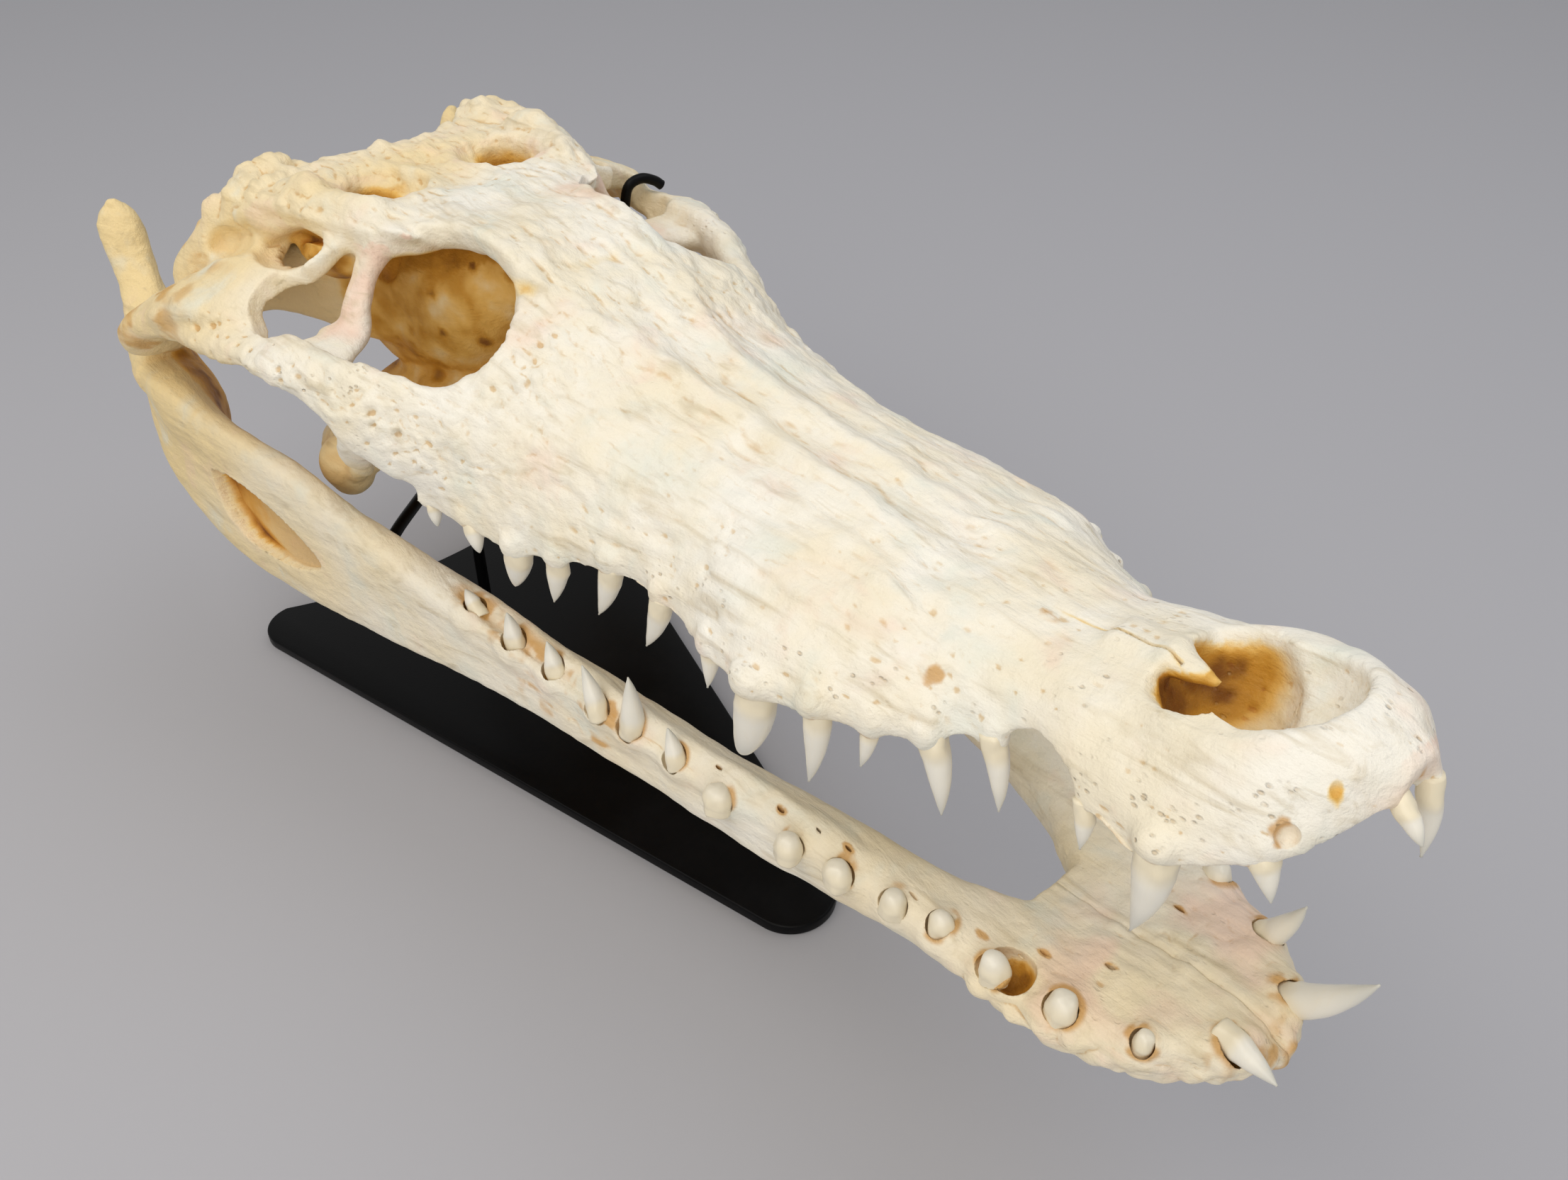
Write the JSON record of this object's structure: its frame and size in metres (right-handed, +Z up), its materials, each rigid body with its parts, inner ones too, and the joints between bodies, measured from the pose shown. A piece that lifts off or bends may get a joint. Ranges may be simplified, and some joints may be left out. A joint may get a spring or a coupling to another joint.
{
  "type": "crocodile skull",
  "caption": "Cranium and lower jaw of a large crocodile with toothed, parted jaws, held over a rounded triangular plate by a black rod stand.",
  "frame": {"origin": "floor level under the middle of the bounding box, in the skull's mid-sagittal plane", "axes": "+X from the back of the skull to the tip of the snout, +Y towards the animal's left, +Z up"},
  "size_m": [0.6391, 0.2472, 0.2763],
  "materials": {
    "bone": "matte dry ivory bone, brown in the hollows",
    "jaw_bone": "matte dry cream bone, yellower towards the joint",
    "black_paint": "black satin powder coat on steel"
  },
  "bodies": {
    "root": {"snout": "bone", "braincase": "bone", "cheek_left": "bone", "cheek_right": "bone", "mandible_left": "jaw_bone", "mandible_right": "jaw_bone", "stand_plate": "black_paint", "stand_post": "black_paint", "stand_arm_left": "black_paint", "stand_arm_right": "black_paint", "stand_hook": "black_paint"}
  },
  "joints": []
}
